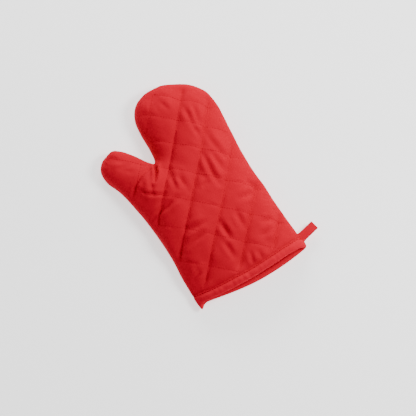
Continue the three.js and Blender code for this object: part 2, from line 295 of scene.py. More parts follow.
# Folds pressed into the palm cover: a line, its depth, and half its width.
CREASES = (
    ([(-12, 242), (-8, 229)], 1.0, 2.5),
    ([(11, 224), (11, 201)], 1.8, 3.0),
    ([(22, 220), (18, 199)], 1.6, 2.6),
    ([(10, 198), (13, 182)], 1.2, 2.6),
    ([(23, 186), (23, 170), (28, 147)], 1.4, 3.0),
    ([(7, 160), (6, 135), (8, 117)], 2.4, 3.0),
    ([(17, 156), (20, 132)], 1.2, 3.0),
    ([(-39, 158), (-42, 135)], 1.3, 3.0),
    ([(-30, 150), (-30, 124)], 1.4, 3.0),
    ([(-72, 117), (-47, 122)], 1.8, 3.0),
    ([(-87, 113), (-68, 120)], 1.2, 2.4),
    ([(-53, 81), (-27, 80)], 1.3, 3.2),
    ([(-57, 65), (-37, 69)], 1.5, 3.2),
    ([(-11, 72), (-9, 51)], 2.2, 3.0),
    ([(-17, 49), (-14, 28)], 1.5, 3.0),
    ([(12, 75), (12, 56)], 1.6, 3.0),
    ([(23, 89), (40, 92)], 1.4, 3.2),
    ([(6, 24), (3, 7)], 1.3, 2.4),
    ([(16, 19), (15, 5)], 1.2, 2.4),
    ([(29, 18), (26, 5)], 1.0, 2.2),
    ([(-70, 26), (-55, 30)], 1.2, 2.6),
    ([(-60, 41), (-61, 28)], 1.0, 2.6),
    ([(-50.5, 181), (-51.5, 175), (-54, 165), (-61, 154)], 4.8, 1.8),
    ([(-62, 160), (-68, 148), (-71, 138)], 1.5, 2.6),
    ([(-74, 163), (-77, 152)], 0.8, 2.6),
    ([(-52, 172), (-66.5, 171.2), (-78, 164.3), (-87, 156.4), (-95, 146)], 1.9, 2.1),
    ([(-82, 155), (-75, 144), (-68, 138.5), (-57, 134.5)], 1.2, 1.9),
    ([(-34, 148), (-33, 136), (-37, 130)], 1.4, 2.2),
    ([(-84, 193), (-98, 203)], 0.9, 2.4),
    ([(-76, 186), (-92, 190)], 0.9, 2.4),
    ([(42, 105), (48, 99)], 1.6, 3.0),
    ([(37, 52), (45, 52)], 1.4, 3.0),
    ([(28, 37), (40, 39)], 1.2, 3.0),
    ([(-93, 187), (-78, 177)], 0.8, 3.0),
    ([(-1, 125), (-14, 120)], 1.2, 3.5),
)
CREASE_GAIN, CREASE_STEP = 1.25, 3
CREASE_ENDS = (0.12, 0.76)  # of half a wave, which tapers a fold towards its ends
RIDGE_SHARE, RIDGE_AT, RIDGE_WIDTH = 0.45, 2.1, 1.1  # of the fold's depth, and of its width


def creased(p):
    """How far the folds push the cover in, or out beside them."""
    out = np.zeros(len(p))
    for line, depth, width in CREASES:
        line = np.array(line, float)
        if len(line) > 2:
            line = catmull_rom(line, CREASE_STEP)
        line = resample(line, CREASE_STEP)
        distance = np.full(len(p), np.inf)
        share = np.zeros(len(p))
        for i, (x, y) in enumerate(line):
            d = np.hypot(p[:, 0] - x, p[:, 1] - y)
            closer = d < distance
            distance[closer] = d[closer]
            share[closer] = i / (len(line) - 1)
        taper = np.sin(math.pi * (CREASE_ENDS[0] + CREASE_ENDS[1] * share))
        valley = np.exp(-((distance / width) ** 2))
        ridge = np.exp(-(((distance - RIDGE_AT * width) / (RIDGE_WIDTH * width)) ** 2))
        out += CREASE_GAIN * depth * taper * (RIDGE_SHARE * ridge - valley)
    return out


cuff_square = np.array([(seam[-1] - seam[0])[1], -(seam[-1] - seam[0])[0]])
cuff_square = unit(cuff_square)
cuff_width = np.linalg.norm(seam[-1] - seam[0])


def cuff_edge(share):
    """Points of the cuff's edge in plan, share of the way from the thumb side."""
    share = np.asarray(share, float)[:, None]
    return seam[0] * (1 - share) + seam[-1] * share + cuff_square * CUFF_BULGE * 4 * share * (1 - share)


def cuff_distance(p):
    """How far each point lies from the cuff's edge, towards the hand."""
    share = np.clip((p - seam[0]) @ unit(seam[-1] - seam[0]) / cuff_width, 0, 1)
    return (cuff_edge(share) - p) @ cuff_square


def mouth_shape(points):
    """The palm panel's edge stands higher and further back towards the loop's side of the mouth."""
    p = points[:, :2]
    share = np.clip((p - seam[0]) @ unit(seam[-1] - seam[0]) / cuff_width, 0, 1)
    from_edge = cuff_distance(p)
    free = np.clip((points[:, 2] - SEAM_HEIGHT) / MOUTH_FREE_HEIGHT, 0, 1)
    right = smooth(share, *MOUTH_RIGHT) * (1 - smooth(share, *MOUTH_CORNER))
    left = 1 - smooth(share, *MOUTH_LEFT)
    moved = points.copy()
    up = (MOUTH_LIFT * right - MOUTH_SAG * left) * (1 - smooth(from_edge, 0, MOUTH_LIFT_REACH))
    moved[:, 2] += up * free
    shifted = (MOUTH_BACK * right - MOUTH_FORTH * left) * (1 - smooth(from_edge, 0, MOUTH_SHIFT_REACH))
    back = shifted * free
    moved[:, :2] -= back[:, None] * cuff_square
    return moved


def stitch_pinch(from_edge):
    """How far the row of stitches through the binding draws the panel in."""
    return PINCH * np.exp(-(((from_edge - STITCH_ROW) / PINCH_WIDTH) ** 2))


# ---- The covers' shared triangulation in plan --------------------------------------------------
EDGE_ROWS = (0.16, 0.6, 1.35, 2.4, 3.7, 5.3, 7.1)  # from the seam, even along the steep sides
LINE_FROM_SEAM, LINE_FROM_CUFF = 5.5, 6  # where the mesh's quilting lines end
ROW_SHARE = 0.866  # of the step, between the rows of the triangles that fill the middle
JITTER = 0.22


def plan_mesh():
    """Vertices and triangles that fill the outline, with edges along every quilting line."""
    cuff = resample(cuff_edge(np.linspace(0, 1, 80)), STEP)
    border = np.vstack([seam, cuff[::-1][1:-1]])
    count = len(border)
    edges = [(i, (i + 1) % count) for i in range(count)]
    points = [border]
    total = count

    lines = []
    for ways, base, values in ((L_WAY, L_ACROSS, DEEP_LINES), (L_ACROSS, L_WAY, SHALLOW_LINES)):
        for value in values:
            run = np.linspace(-330, 330, 1400)[:, None] * ways + value * base
            bow_l, bow_h = bow(run)
            off = bow_l if base is L_ACROSS else bow_h
            run = run - off[:, None] * base
            distance, _ = to_seam(run)
            inside = (distance > LINE_FROM_SEAM) & is_inside(run) & (cuff_distance(run) > LINE_FROM_CUFF)
            turns = np.where(np.diff(inside.astype(int)))[0] + 1
            for part in np.split(np.arange(len(run)), turns):
                if len(part) > 8 and inside[part[0]]:
                    lines.append(resample(run[part], STEP))
    on_lines = np.vstack(lines)
    for line in lines:
        edges += [(total + i, total + i + 1) for i in range(len(line) - 1)]
        points.append(line)
        total += len(line)

    rows = []
    way = np.gradient(seam, axis=0)
    inward = unit(np.column_stack([way[:, 1], -way[:, 0]]))
    for k, row in enumerate(EDGE_ROWS):
        middle = (seam[:-1] + seam[1:]) / 2 if k % 2 == 0 else seam
        push = (inward[:-1] + inward[1:]) / 2 if k % 2 == 0 else inward
        moved = middle + push * row
        distance, _ = to_seam(moved)
        keep = (distance > row * 0.93) & is_inside(moved) & (cuff_distance(moved) > 1.2)
        rows.append(moved[keep])
    columns = np.arange(-125, 90, STEP)
    fill = np.array(
        [
            (x + (j % 2) * STEP / 2, y)
            for j, y in enumerate(np.arange(-14, 275, STEP * ROW_SHARE))
            for x in columns
        ]
    )
    fill = fill + rng.uniform(-JITTER, JITTER, fill.shape)
    distance, _ = to_seam(fill)
    fill = fill[(distance > EDGE_ROWS[-1] + 1.1) & is_inside(fill) & (cuff_distance(fill) > 1.5)]
    free = np.vstack([*rows, fill])
    free = free[~near_any(free, on_lines, 1.25)]
    points.append(free)
    points = np.vstack(points)
    corners = [Vector(p) for p in points]
    out = delaunay_2d_cdt(corners, edges, [list(range(count))], 1, 1e-4, False)
    xy = np.array([tuple(v) for v in out[0]])
    triangles = np.array([f for f in out[2] if len(f) == 3])
    triangles = triangles[is_inside(xy[triangles].mean(1))]
    a, b, c = (xy[triangles[:, k]] for k in range(3))
    turn = (b - a)[:, 0] * (c - a)[:, 1] - (b - a)[:, 1] * (c - a)[:, 0]
    triangles[turn < 0] = triangles[turn < 0][:, ::-1]
    return xy, triangles


def near_any(points, others, reach):
    """Whether each point has one of the others within reach, by a grid of cells."""
    cells = {}
    for p in others:
        cells.setdefault((int(p[0] // reach), int(p[1] // reach)), []).append(p)
    out = np.zeros(len(points), bool)
    for i, p in enumerate(points):
        cx, cy = int(p[0] // reach), int(p[1] // reach)
        for dx in (-1, 0, 1):
            for dy in (-1, 0, 1):
                for q in cells.get((cx + dx, cy + dy), ()):
                    if (p[0] - q[0]) ** 2 + (p[1] - q[1]) ** 2 < reach * reach:
                        out[i] = True
    return out


def is_inside(p):
    """Whether each point lies inside the outline, by counting the edges beside it."""
    ring = np.vstack([seam, cuff_edge(np.linspace(1, 0, 40))[1:-1]])
    inside = np.zeros(len(p), bool)
    for a, b in zip(ring, np.roll(ring, -1, axis=0)):
        crosses = (a[1] > p[:, 1]) != (b[1] > p[:, 1])
        if a[1] == b[1]:
            continue
        x = a[0] + (p[:, 1] - a[1]) / (b[1] - a[1]) * (b[0] - a[0])
        inside ^= crosses & (p[:, 0] < x)
    return inside


plan, triangles = plan_mesh()
plan_distance, plan_out = to_seam(plan)
known = (plan_distance, plan_out)
count = len(plan)
on_seam = plan_distance < 0.05
from_cuff = cuff_distance(plan)


def edges_of(faces):
    pairs = np.vstack([faces[:, [0, 1]], faces[:, [1, 2]], faces[:, [2, 0]]])
    return np.unique(np.sort(pairs, axis=1), axis=0)


plan_edges = edges_of(triangles)
degree = np.bincount(plan_edges.ravel(), minlength=count)


def relax(values, passes, hold):
    """Evens values out over the mesh, except where hold is set."""
    values = values.copy()
    for _ in range(passes):
        total = np.zeros_like(values)
        np.add.at(total, plan_edges[:, 0], values[plan_edges[:, 1]])
        np.add.at(total, plan_edges[:, 1], values[plan_edges[:, 0]])
        mean = total / (degree[:, None] if values.ndim > 1 else degree)
        values[~hold] = 0.5 * values[~hold] + 0.5 * mean[~hold]
    return values


def panel_base(panel, depth=0.0):
    """The panel's smooth shape this far below its outer face, at every vertex of the plan."""
    base = face(plan, panel, depth, known)
    hold = plan_distance < 9
    base[:, 2] = relax(base[:, 2], 30, hold)
    return mouth_shape(base) if panel == "palm" else base


def normals_of(points, faces):
    """The unit normal at each point, from the faces round it by their size."""
    a, b, c = (points[faces[:, k]] for k in range(3))
    square = np.cross(b - a, c - a)
    total = np.zeros_like(points)
    for k in range(3):
        np.add.at(total, faces[:, k], square)
    return unit(total)


# ---- Cloth simulation of both covers ---------------------------------------------------------
SCALE = 100.0  # millimetres in one unit of the simulation
FRAMES = 36
# The size of each cloth's rest shape over its panel's, along X, Y and Z.
SLACK = {"palm": (1.08, 1.04, 1.0), "back": (1.07, 1.04, 1.0)}
CLOTH = {
    "quality": 6,
    "mass": 0.25,
    "air_damping": 2,
    "tension_stiffness": 20,
    "compression_stiffness": 20,
    "shear_stiffness": 8,
    "bending_stiffness": 0.4,
    "tension_damping": 8,
    "compression_damping": 8,
    "shear_damping": 6,
    "bending_damping": 0.5,
    "vertex_group_mass": "pin",
    "pin_stiffness": 4,
    "use_pressure": True,
    "uniform_pressure_force": 0.4,
}
STREAKS, STREAK_SIZE, GRAIN = 10, 0.16, 0.05
SHALLOW_PIN = 0.15  # the shallow lines hold the palm's cloth loosely


def simulate(points, faces, pinned, rest):
    """Settles the cloth between its stitches, from a rest shape larger than the panel."""
    obj = new_mesh("cloth_sim", points / SCALE, faces)
    obj.shape_key_add(name="Basis")
    key = obj.shape_key_add(name="rest")
    key.data.foreach_set("co", (rest / SCALE).astype(np.float32).ravel())
    key.value = 0
    group = obj.vertex_groups.new(name="pin")
    for weight in np.unique(pinned[pinned > 0]):
        group.add([int(i) for i in np.where(pinned == weight)[0]], float(weight), "REPLACE")
    cloth = obj.modifiers.new("cloth", "CLOTH")
    for setting, value in CLOTH.items():
        setattr(cloth.settings, setting, value)
    cloth.settings.rest_shape_key = key
    cloth.settings.effector_weights.gravity = 0
    cloth.collision_settings.use_collision = False
    cloth.point_cache.frame_start = 1
    cloth.point_cache.frame_end = FRAMES
    scene = bpy.context.scene
    for f in range(1, FRAMES + 1):
        scene.frame_set(f)
    got = obj.evaluated_get(bpy.context.evaluated_depsgraph_get()).to_mesh()
    out = np.empty(len(points) * 3, np.float32)
    got.vertices.foreach_get("co", out)
    scene.frame_set(1)
    bpy.data.objects.remove(obj)
    return out.reshape(-1, 3).astype(float) * SCALE


def seam_puckers():
    """Small slanting puckers beside the side seam, where the thick edges were sewn together."""
    along = np.empty(count)
    for i in range(0, count, 500):
        gap = plan[i : i + 500, None] - seam[None]
        along[i : i + 500] = np.argmin((gap**2).sum(2), axis=1) * STEP
    where = along + plan_distance * 0.7
    out = np.zeros(count)
    for wave, phase, size in ((5.3, 0.4, 0.3), (7.1, 2.0, 0.35), (9.7, 4.1, 0.35), (13.0, 1.1, 0.2)):
        out += size * np.sin(2 * math.pi * where / wave + phase)
    strong = (0.55 + 0.45 * np.sin(along / 31)) * (1 - smooth(plan[:, 1], 225, 250))
    fade = np.exp(-plan_distance / 8) * smooth(plan_distance, 0.3, 4) * smooth(from_cuff, 10, 18)
    return out * strong * fade


def cover_shape(panel):
    """The cover's points: the smooth panel, quilted, creased and streaked, then settled."""
    base = panel_base(panel)
    faces = triangles if panel == "palm" else triangles[:, ::-1]
    normal = unit(relax(normals_of(base, faces), 4, plan_distance < 7))
    out, near_l, near_h = quilt(plan, plan_distance, panel)
    if panel == "palm":
        fade = smooth(plan_distance, *CREASE_FADE) * smooth(from_cuff, *PUFF_CUFF_FADE)
        out = out + creased(plan) * fade
    out = out + seam_puckers() - stitch_pinch(from_cuff)
    start = base + normal * out[:, None]
    start[on_seam] = base[on_seam]
    # Slight streaks along the mitt, which the simulation only settles a little.
    streaks = rng.normal(0, GRAIN, count)
    for _ in range(STREAKS):
        wave, lean, phase = rng.uniform(14, 34), rng.normal(0, 0.3), rng.uniform(0, 2 * math.pi)
        run = plan[:, 0] * math.cos(lean) + plan[:, 1] * math.sin(lean) + 4 * np.sin(plan[:, 1] / 23)
        streaks += STREAK_SIZE * np.sin(2 * math.pi * run / wave + phase)
    pin = np.zeros(count)
    inner = plan_distance > line_margin(plan)
    pin[(near_l < 0.15) & inner & (from_cuff > 6)] = 1
    on_shallow = (near_h < 0.15) & inner & (from_cuff > 6) & (pin == 0)
    pin[on_shallow] = SHALLOW_PIN if panel == "palm" else 1
    pin[on_seam] = 1
    pin[from_cuff < BINDING_WIDTH] = 1
    free = pin == 0
    start[free] += normal[free] * streaks[free, None]
    return simulate(start, faces, pin, start * np.array(SLACK[panel]))


LEAST_HEIGHT = 0.02  # of the back cover and the stitches over the table
covers = {panel: cover_shape(panel) for panel in ("palm", "back")}
covers["back"][:, 2] = np.maximum(covers["back"][:, 2], LEAST_HEIGHT)

# ---- Materials ------------------------------------------------------------------------------


def cloth_material(name, color, roughness=0.9, thread=0.45, bump=0.25, sheen=0.0, mottle=0.06):
    """Plain woven cotton: fine crossed threads, with slow uneven dye and wear over them."""
    material = bpy.data.materials.new(name)
    material.use_nodes = True
    nodes, links = material.node_tree.nodes, material.node_tree.links
    shader = nodes["Principled BSDF"]
    shader.inputs["Roughness"].default_value = roughness
    shader.inputs["Sheen Weight"].default_value = sheen
    shader.inputs["Sheen Roughness"].default_value = 0.5
    shader.inputs["Sheen Tint"].default_value = (1.0, 0.4, 0.4, 1)
    shader.inputs["Specular IOR Level"].default_value = 0.05
    where = nodes.new("ShaderNodeTexCoord")
    slow = nodes.new("ShaderNodeTexNoise")
    slow.inputs["Scale"].default_value = 55
    slow.inputs["Detail"].default_value = 4
    fine = nodes.new("ShaderNodeTexNoise")
    fine.inputs["Scale"].default_value = 900
    fine.inputs["Detail"].default_value = 2
    ramp = nodes.new("ShaderNodeMix")
    ramp.data_type = "RGBA"
    dark = [c * (1 - mottle * 2.2) for c in color]
    light = [min(1, c * (1 + mottle)) for c in color]
    ramp.inputs["A"].default_value = (*dark, 1)
    ramp.inputs["B"].default_value = (*light, 1)
    mixed = nodes.new("ShaderNodeMath")
    mixed.operation = "ADD"
    half = nodes.new("ShaderNodeMath")
    half.operation = "MULTIPLY"
    half.inputs[1].default_value = 0.5
    links.new(where.outputs["Object"], slow.inputs["Vector"])
    links.new(where.outputs["Object"], fine.inputs["Vector"])
    links.new(slow.outputs["Fac"], mixed.inputs[0])
    links.new(fine.outputs["Fac"], mixed.inputs[1])
    links.new(mixed.outputs[0], half.inputs[0])
    links.new(half.outputs[0], ramp.inputs["Factor"])
    links.new(ramp.outputs["Result"], shader.inputs["Base Color"])
    warp = nodes.new("ShaderNodeTexWave")
    weft = nodes.new("ShaderNodeTexWave")
    for wave, way in ((warp, "X"), (weft, "Y")):
        wave.bands_direction = way
        wave.inputs["Scale"].default_value = 1000 / thread / (2 * math.pi) / 3.2
        wave.inputs["Distortion"].default_value = 0.6
        wave.inputs["Detail"].default_value = 1
        links.new(where.outputs["Object"], wave.inputs["Vector"])
    weave = nodes.new("ShaderNodeMath")
    weave.operation = "MULTIPLY"
    links.new(warp.outputs["Fac"], weave.inputs[0])
    links.new(weft.outputs["Fac"], weave.inputs[1])
    rough = nodes.new("ShaderNodeBump")
    rough.inputs["Strength"].default_value = bump
    rough.inputs["Distance"].default_value = 0.0002
    links.new(weave.outputs[0], rough.inputs["Height"])
    links.new(rough.outputs["Normal"], shader.inputs["Normal"])
    return material


RED = (0.54, 0.001, 0.017)
cover_cloth = cloth_material("cover_cloth", RED)
lining_cloth = cloth_material("lining_cloth", (0.36, 0.003, 0.010))
tape_cloth = cloth_material("tape_cloth", (0.60, 0.001, 0.020), roughness=0.8)
thread_stuff = cloth_material("thread", (0.30, 0.001, 0.008), roughness=0.7, thread=0.2)
quilting_stuff = cloth_material("quilting_thread", (0.42, 0.001, 0.012), roughness=0.8, thread=0.2)
wadding_stuff = cloth_material("wadding", (0.82, 0.77, 0.66), roughness=0.95, bump=0.5, sheen=0.4)

# ---- Cover, wadding and lining pieces ----------------------------------------------------------
base_way = unit(CROTCH - THUMB_BASE_LEFT)
base_square = np.array([-base_way[1], base_way[0]])
THUMB_LIMIT = 0.4  # of X past the crotch
WAD_UNDER_COVER, WAD_OVER_LINING = 0.8, 0.4
CUT_ROOM = 1.3  # the least size of a cut rectangle, in areas of its cloth


def thumb_faces():
    """Which triangles are beyond the line across the thumb's base, on the thumb side."""
    middle = plan[triangles].mean(1)
    rel = middle - CROTCH
    return (rel @ base_square > 0) & (middle[:, 0] < CROTCH[0] + THUMB_LIMIT)


is_thumb = thumb_faces()


def cut(faces):
    """The vertices that faces use, and the faces renumbered to them."""
    used = np.unique(faces)
    number = np.full(faces.max() + 1, -1)
    number[used] = np.arange(len(used))
    return used, number[faces]


def blend_main(obj):
    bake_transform(obj)


def blend_thumb(obj):
    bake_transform(obj)


SECTIONS = {"main": ("hand", "knuckles", "fingertips"), "thumb": ("thumb_base", "thumb")}


def blend_part(obj, part):
    (blend_main if part == "main" else blend_thumb)(obj)


def finish_piece(obj, panel, layer, part):
    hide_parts(*[f"{panel}_{layer}_{section}" for section in SECTIONS[part]])
    blend_part(obj, part)


def area_of(points, faces):
    a, b, c = (points[faces[:, k]] for k in range(3))
    return np.linalg.norm(np.cross(b - a, c - a), axis=1).sum() / 2


def declare_sheet(shape, used, faces):
    """The size of a rectangle round the cloth's outline, which its own area never overfills; it is
    worked out and not kept.
    """
    square = area_of(shape[used], faces) / 1e6
    span = np.ptp(plan[used], axis=0) / 1000
    span = span * math.sqrt(max(1.0, CUT_ROOM * square / (span[0] * span[1])))


def layers_of(panel, cover):
    """The lining's points, and the wadding's upper and lower ones, under the cover's."""
    base = panel_base(panel)
    inward = panel_base(panel, 1.0) - base
    out, _, _ = quilt(plan, plan_distance, panel)
    cover_depth = ((cover - base) * inward).sum(1) / (inward**2).sum(1)
    lining_depth = np.maximum(WALL - 0.2 + np.clip(out, 0, 2) * 0.5, cover_depth + 1.8)
    lining_depth = np.maximum(relax(lining_depth, 4, on_seam), cover_depth + 1.5)
    # The wadding keeps clear of the cover's steep valleys on every side.
    deepest = cover_depth.copy()
    np.maximum.at(deepest, plan_edges[:, 0], cover_depth[plan_edges[:, 1]])
    np.maximum.at(deepest, plan_edges[:, 1], cover_depth[plan_edges[:, 0]])
    lining_depth = np.maximum(lining_depth, deepest + 1.6)
    lining = base + inward * lining_depth[:, None]
    wad_top = cover + inward * (WAD_UNDER_COVER + deepest - cover_depth)[:, None]
    wad_low = base + inward * (lining_depth - WAD_OVER_LINING)[:, None]
    return lining, wad_top, wad_low


def wadding_solid(faces, used, wad_top, wad_low):
    """A closed pad: its upper and lower faces, and a wall round its rim."""
    directed = {tuple(e) for f in faces for e in ((f[0], f[1]), (f[1], f[2]), (f[2], f[0]))}
    rim = [(i, j) for i, j in directed if (j, i) not in directed]
    n = len(used)
    walls = [(j, i, i + n) for i, j in rim] + [(j, i + n, j + n) for i, j in rim]
    points = np.vstack([wad_top[used], wad_low[used]])
    return points, np.vstack([faces, faces[:, ::-1] + n, np.array(walls)])


def build_panel(panel):
    cover = covers[panel]
    outward = triangles if panel == "palm" else triangles[:, ::-1]
    smooth_normals = normals_of(cover, outward)
    lining, wad_top, wad_low = layers_of(panel, cover)
    for part in ("main", "thumb"):
        used, faces = cut(outward[is_thumb if part == "thumb" else ~is_thumb])
        tag = f"{panel}_thumb" if part == "thumb" else panel
        cloth = new_mesh(f"{tag}_cover_cloth", to_frame(cover[used]), faces, cover_cloth)
        cloth.data.normals_split_custom_set_from_vertices([tuple(n) for n in smooth_normals[used]])
        finish_piece(cloth, panel, "cover", part)

        inner = new_mesh(f"{tag}_lining_cloth", to_frame(lining[used]), faces[:, ::-1], lining_cloth)
        finish_piece(inner, panel, "lining", part)

        points, solid = wadding_solid(faces, used, wad_top, wad_low)
        pad = new_mesh(f"{tag}_wadding_pad", to_frame(points), solid, wadding_stuff)
        finish_piece(pad, panel, "wadding", part)
        declare_sheet(cover, used, faces)
        declare_sheet(lining, used, faces)


for panel in ("palm", "back"):
    build_panel(panel)

# ---- The binding round the mouth -----------------------------------------------------------------
STATION_STEP = 1.2  # along the mouth
TAPE_THICKNESS, TAPE_GAP = 0.0006, 0.45  # in metres, and off the cloth that it wraps
TAPE_ROLL, TAPE_START = 2.1, 1.0  # how full the tape is, and how far inside the edge it turns
RIPPLE, RIPPLE_SHIFT = (0.22, 0.2), 9  # of the tape's fullness and width, and stations between them
LEAST_TAPE_HEIGHT = 0.32  # of the tape's middle, so that its thickness clears the table
CUFF_STITCH = (2.3, 3.4, 0.4)  # length, pitch and radius
QUILTING_STITCH = (2.5, 3.3, 0.2)


def mouth_stations():
    """Shares along the cuff's edge, even along the palm panel's own length and the back panel's."""
    out = []
    for panel in ("palm", "back"):
        share = (1 - np.cos(np.linspace(0, math.pi, 400))) / 2
        edge = face(cuff_edge(share), panel, 0)
        along = np.concatenate([[0], np.cumsum(np.linalg.norm(np.diff(edge, axis=0), axis=1))])
        steps = int(along[-1] / STATION_STEP)
        at = np.interp(np.linspace(0, along[-1], steps + 1), along, share)
        out.append(at)
    palm, back = out
    return [("palm", s) for s in palm] + [("back", s) for s in back[::-1][1:-1]]


stations = mouth_stations()
seam_run = np.concatenate([[0], np.cumsum(np.linalg.norm(np.diff(seam_line, axis=0), axis=1))])


def beside_cuff(share, from_edge):
    """Points in plan this far in from the cuff's edge, on lines that turn from one seam to the other."""
    ends = []
    for at in (SEAM_TAIL + from_edge, seam_run[-1] - SEAM_TAIL - from_edge):
        ends.append(np.stack([np.interp(at, seam_run, seam_line[:, k]) for k in range(2)], 1))
    bulge = cuff_square * CUFF_BULGE * 4 * share * (1 - share)
    return ends[0] * (1 - share) + ends[1] * share + bulge


def mouth_points(section_of):
    """A ring of sections: section_of(station number, panel, share) gives (from edge, depth) rows."""
    rows = []
    for k, (panel, share) in enumerate(stations):
        section = section_of(k, panel, share)
        p = beside_cuff(share, section[:, 0])
        placed = face(p, panel, section[:, 1])
        rows.append(mouth_shape(placed) if panel == "palm" else placed)
    return np.array(rows)


ripple = rng.normal(0, 1, len(stations))
ripple = np.convolve(np.concatenate([ripple, ripple, ripple]), np.hanning(7) / 3, "same")
ripple = ripple[len(stations) : 2 * len(stations)]
ripple = ripple / ripple.std()


def binding_section(k, panel, share):
    """The tape from its free edge outside, round the cuff's edge, to its free edge inside."""
    across = share * cuff_width
    ends = smooth(across, 0, 9) * smooth(cuff_width - across, -4, 4)
    puff = (1.0 + RIPPLE[0] * ripple[k]) * ends
    wide = BINDING_WIDTH + RIPPLE[1] * ripple[(k + RIPPLE_SHIFT) % len(ripple)]
    beak = BEAK * math.exp(-((across / BEAK_REACH) ** 1.6))
    if panel == "palm":
        rise = face(cuff_edge([share]), panel, 0)[0, 2] - SEAM_HEIGHT
        beak *= math.exp(-((rise / BEAK_HEIGHT) ** 1.5))
    jut = JUT * (smooth(share, 0.8, 1) if panel == "palm" else smooth(share, 0.15, 0.6))
    s = np.linspace(wide, TAPE_START, 20)
    roll = np.sin(math.pi * np.clip((STITCH_ROW - 1.0 - s) / 7.8, 0, 1))
    outer = np.column_stack([s, stitch_pinch(s) - TAPE_GAP - TAPE_ROLL * puff * roll])
    inner_s = TAPE_START + (wide - TAPE_START) * np.linspace(0, 1, 14) ** 1.4
    inner = np.column_stack([inner_s, np.full(len(inner_s), WALL + TAPE_GAP)])
    if panel == "back":
        lip = LIP * ends * smooth(cuff_width - across, 0, 8)
        inner[:, 1] += lip * np.exp(-(((inner_s - TAPE_START) / 2.0) ** 2))
    turn = np.linspace(0, math.pi, 13)[1:-1]
    low, high = outer[-1, 1], inner[0, 1]
    through = (1 - np.cos(turn)) / 2
    tip = np.minimum(through / 0.3, (1 - through) / 0.7)
    past_edge = TAPE_START - (2.6 + jut) * np.sin(turn) - beak * tip
    bent = np.column_stack([past_edge, low + (high - low) * through])
    return np.vstack([outer, bent, inner])


tape_line = mouth_points(binding_section)
tape_line[..., 2] = np.maximum(tape_line[..., 2], LEAST_TAPE_HEIGHT)
n_s, n_k = tape_line.shape[:2]
flat = tape_line.reshape(-1, 3)
ring_faces = [
    (s * n_k + k, ((s + 1) % n_s) * n_k + k, ((s + 1) % n_s) * n_k + k + 1, s * n_k + k + 1)
    for s in range(n_s)
    for k in range(n_k - 1)
]
binding = new_mesh("cuff_binding_tape", to_frame(flat), ring_faces, tape_cloth)
thick = binding.modifiers.new("thickness", "SOLIDIFY")
thick.thickness = TAPE_THICKNESS
thick.offset = 0
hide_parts("cuff_binding")
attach(binding, "hand")


# ---- Stitches -------------------------------------------------------------------------------
def stitches(name, runs, size, material):
    """Short threads that lie along each run of surface points and dip in at both ends."""
    length, pitch, radius = size
    points, faces = [], []
    ring, cuts = 6, 5
    for line, normal in runs:
        along = np.concatenate([[0], np.cumsum(np.linalg.norm(np.diff(line, axis=0), axis=1))])
        at = np.arange(pitch / 2, along[-1] - length, pitch)
        for begin in at:
            t = np.linspace(begin, begin + length, cuts)
            centre = np.stack([np.interp(t, along, line[:, k]) for k in range(3)], 1)
            up = unit(np.stack([np.interp(t, along, normal[:, k]) for k in range(3)], 1))
            arch = np.sin(np.linspace(0, math.pi, cuts)) ** 0.6
            centre = centre + up * (radius * (arch * 1.5 - 0.7))[:, None]
            way = unit(np.gradient(centre, axis=0))
            side = unit(np.cross(way, up))
            top = np.cross(side, way)
            swell = radius * (0.55 + 0.45 * arch)
            first = len(points)
            for c in range(cuts):
                for r in range(ring):
                    turn = 2 * math.pi * r / ring
                    offset = side[c] * math.cos(turn) + top[c] * math.sin(turn)
                    points.append(centre[c] + offset * swell[c])
            for c in range(cuts - 1):
                low, high = first + c * ring, first + (c + 1) * ring
                for r in range(ring):
                    q = (r + 1) % ring
                    faces.append((low + r, low + q, high + q, high + r))
            faces.append(tuple(first + r for r in range(ring))[::-1])
            faces.append(tuple(first + (cuts - 1) * ring + r for r in range(ring)))
    points = np.array(points)
    points[:, 2] = np.maximum(points[:, 2], LEAST_HEIGHT)
    return new_mesh(name, to_frame(points), faces, material)


hem = tape_line[:, 4]
along_hem = np.roll(hem, -1, 0) - np.roll(hem, 1, 0)
hem_normal = unit(np.cross(along_hem, tape_line[:, 2] - tape_line[:, 6]))
centre_of_mouth = hem.mean(0)
if ((hem - centre_of_mouth) * hem_normal).sum() < 0:
    hem_normal = -hem_normal
closed = np.vstack([hem, hem[:1]])
closed_normal = np.vstack([hem_normal, hem_normal[:1]])
cuff_thread = stitches("cuff_stitches", [(closed, closed_normal)], CUFF_STITCH, thread_stuff)
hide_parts("cuff_stitching")
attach(cuff_thread, "hand")


def quilting_runs(panel, thumb):
    """The runs of the cover's vertices along each quilting line."""
    cover = covers[panel]
    outward = triangles if panel == "palm" else triangles[:, ::-1]
    normal = normals_of(cover, outward)
    bow_l, bow_h = bow(plan)
    side = np.zeros(count, bool)
    side[np.unique(triangles[is_thumb])] = True
    part = side if thumb else ~side
    runs = []
    inner = (plan_distance > line_margin(plan) - 2) & (from_cuff > 9)
    for value, other, lines in (
        (plan @ L_ACROSS + bow_l, plan @ L_WAY, DEEP_LINES),
        (plan @ L_WAY + bow_h, plan @ L_ACROSS, SHALLOW_LINES),
    ):
        for line in lines:
            here = np.where((np.abs(value - line) < 0.1) & inner & part)[0]
            if len(here) < 3:
                continue
            here = here[np.argsort(other[here])]
            breaks = np.where(np.diff(other[here]) > STEP * 2.5)[0] + 1
            for run in np.split(here, breaks):
                if len(run) > 3:
                    runs.append((cover[run], normal[run]))
    return runs


for panel in ("palm", "back"):
    for part in ("main", "thumb"):
        runs = quilting_runs(panel, part == "thumb")
        if not runs:
            continue
        tag = f"{panel}_thumb" if part == "thumb" else panel
        thread = stitches(f"{tag}_quilting_thread", runs, QUILTING_STITCH, quilting_stuff)
        blend_part(thread, part)

